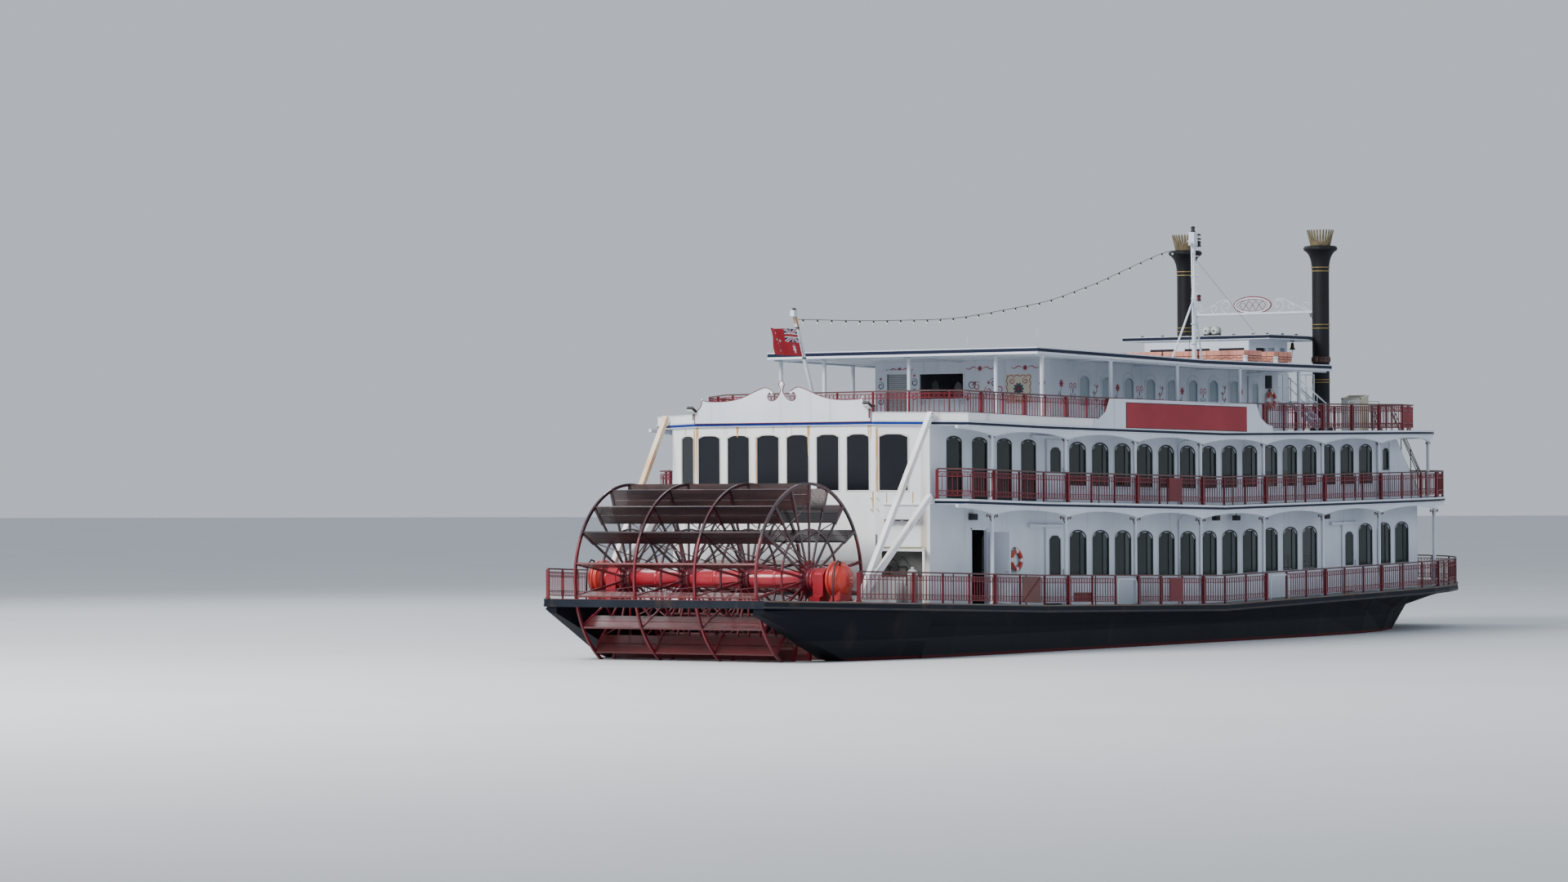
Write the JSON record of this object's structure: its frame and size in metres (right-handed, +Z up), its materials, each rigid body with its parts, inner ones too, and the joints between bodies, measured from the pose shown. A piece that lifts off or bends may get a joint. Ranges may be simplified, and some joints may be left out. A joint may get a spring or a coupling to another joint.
{
  "type": "stern-wheel paddle steamer, 1:2 scale model",
  "caption": "Three-deck stern-wheel passenger steamer afloat, with arcaded side decks, a canopy, a wheelhouse, tall stacks and an open paddle wheel that turns.",
  "frame": {"origin": "on the waterline, on the centre line, amidships: 10.8 m forward of the paddle wheel's axis", "axes": "+X to the bow, +Y to port, +Z up"},
  "size_m": [25.355, 6.1, 8.2746],
  "materials": {
    "white_paint": "semi-gloss marine paint, weathered",
    "hull_paint": "dark hull paint, scuffed and stained along the waterline",
    "deck_paint": "matt grey non-slip deck paint",
    "maroon_paint": "dark red gloss paint, worn",
    "red_paint": "bright red gloss paint",
    "orange_paint": "orange-red machinery paint",
    "black_paint": "black heat-proof paint, matt",
    "gilt": "gold paint on metal",
    "bronze": "dull bronze",
    "grey_steel": "galvanised, dull",
    "float_fabric": "faded orange foam blocks in covers",
    "flag_cloth": "woven bunting, faded",
    "window_glass": "dark tinted window glass",
    "stripe_blue": "blue stripe paint",
    "lamp_plastic": "small string-light bulbs"
  },
  "bodies": {
    "boat": {"aft_bulwark": "white_paint", "bearing_port": "red_paint", "bearing_starboard": "red_paint", "bow_stairs_port": "grey_steel", "bow_stairs_starboard": "grey_steel", "canopy": "white_paint", "crown_port": "gilt", "crown_starboard": "gilt", "drive_motor_port": "orange_paint", "drive_motor_starboard": "orange_paint", "engine_block": "grey_steel", "flag": "flag_cloth", "flagpole": "white_paint", "float_rack_port": "float_fabric", "float_rack_starboard": "float_fabric", "hull": "hull_paint", "main_colonnade": "white_paint", "main_deck": "deck_paint", "main_rail": "maroon_paint", "main_wall_front": "white_paint", "main_wall_port": "white_paint", "main_wall_starboard": "white_paint", "mast": "white_paint", "promenade_deck": "deck_paint", "side_board_port": "white_paint", "side_board_starboard": "white_paint", "stack_bar": "white_paint", "stack_port": "black_paint", "stack_starboard": "black_paint", "stern_board": "white_paint", "stern_struts_port": "white_paint", "stern_struts_starboard": "white_paint", "stern_wall": "white_paint", "top_house_aft_wall": "white_paint", "top_house_side_port": "white_paint", "top_house_side_starboard": "white_paint", "top_rail": "maroon_paint", "upper_colonnade": "white_paint", "upper_deck": "deck_paint", "upper_rail": "maroon_paint", "upper_wall_front": "white_paint", "upper_wall_port": "white_paint", "upper_wall_starboard": "white_paint", "wheelhouse": "white_paint", "wheelhouse_roof": "white_paint", "wheelhouse_stairs": "white_paint"},
    "wheel": {"paddle_wheel": "maroon_paint", "wheel_shaft": "red_paint"},
    "rudder_port": {"rudder_port": "black_paint"},
    "rudder_starboard": {"rudder_starboard": "black_paint"},
    "main_sliding_door_port": {"main_sliding_door_port": "white_paint"},
    "upper_sliding_door_port": {"upper_sliding_door_port": "white_paint"},
    "forward_sliding_door_port": {"forward_sliding_door_port": "white_paint"},
    "crew_door_port": {"crew_door_port": "white_paint"},
    "top_house_door_port": {"top_house_door_port": "white_paint"},
    "main_sliding_door_starboard": {"main_sliding_door_starboard": "white_paint"},
    "upper_sliding_door_starboard": {"upper_sliding_door_starboard": "white_paint"},
    "forward_sliding_door_starboard": {"forward_sliding_door_starboard": "white_paint"},
    "crew_door_starboard": {"crew_door_starboard": "white_paint"},
    "top_house_door_starboard": {"top_house_door_starboard": "white_paint"}
  },
  "joints": [
    {"name": "wheel_turn", "type": "hinge", "parent": "boat", "child": "wheel", "pos_m": [-10.8, 0, 1.275], "axis": [0, 1, 0], "continuous": true},
    {"name": "rudder_port_turn", "type": "hinge", "parent": "boat", "child": "rudder_port", "pos_m": [-8.3, 1.05, -0.1], "axis": [0, 0, 1], "range_deg": [-35, 35]},
    {"name": "rudder_starboard_turn", "type": "hinge", "parent": "boat", "child": "rudder_starboard", "pos_m": [-8.3, -1.05, -0.1], "axis": [0, 0, 1], "range_deg": [-35, 35]},
    {"name": "main_sliding_door_port_slide", "type": "slide", "parent": "boat", "child": "main_sliding_door_port", "axis": [-0.9999, 0, 0.0164], "range_m": [0, 0.55]},
    {"name": "upper_sliding_door_port_slide", "type": "slide", "parent": "boat", "child": "upper_sliding_door_port", "axis": [-0.9999, 0, 0.0124], "range_m": [0, 0.5]},
    {"name": "forward_sliding_door_port_slide", "type": "slide", "parent": "boat", "child": "forward_sliding_door_port", "axis": [-0.9999, 0, -0.0161], "range_m": [0, 0.475]},
    {"name": "top_house_door_port_swing", "type": "hinge", "parent": "boat", "child": "top_house_door_port", "pos_m": [4.095, 1.7725, 4.2], "axis": [0, 0, 1], "range_deg": [-110, 0]},
    {"name": "crew_door_port_swing", "type": "hinge", "parent": "boat", "child": "crew_door_port", "pos_m": [-6.75, 2.5325, 1.35], "axis": [0, 0, 1], "range_deg": [-175, 0]},
    {"name": "main_sliding_door_starboard_slide", "type": "slide", "parent": "boat", "child": "main_sliding_door_starboard", "axis": [-0.9999, 0, 0.0164], "range_m": [0, 0.55]},
    {"name": "upper_sliding_door_starboard_slide", "type": "slide", "parent": "boat", "child": "upper_sliding_door_starboard", "axis": [-0.9999, 0, 0.0124], "range_m": [0, 0.5]},
    {"name": "forward_sliding_door_starboard_slide", "type": "slide", "parent": "boat", "child": "forward_sliding_door_starboard", "axis": [-0.9999, 0, -0.0161], "range_m": [0, 0.475]},
    {"name": "top_house_door_starboard_swing", "type": "hinge", "parent": "boat", "child": "top_house_door_starboard", "pos_m": [4.095, -1.7725, 4.2], "axis": [0, 0, 1], "range_deg": [0, 110]},
    {"name": "crew_door_starboard_swing", "type": "hinge", "parent": "boat", "child": "crew_door_starboard", "pos_m": [-6.75, -2.5325, 1.35], "axis": [0, 0, 1], "range_deg": [-90, 85]}
  ],
  "couplings": [
    {"joint": "rudder_starboard_turn", "follows": "rudder_port_turn", "ratio": 1}
  ]
}
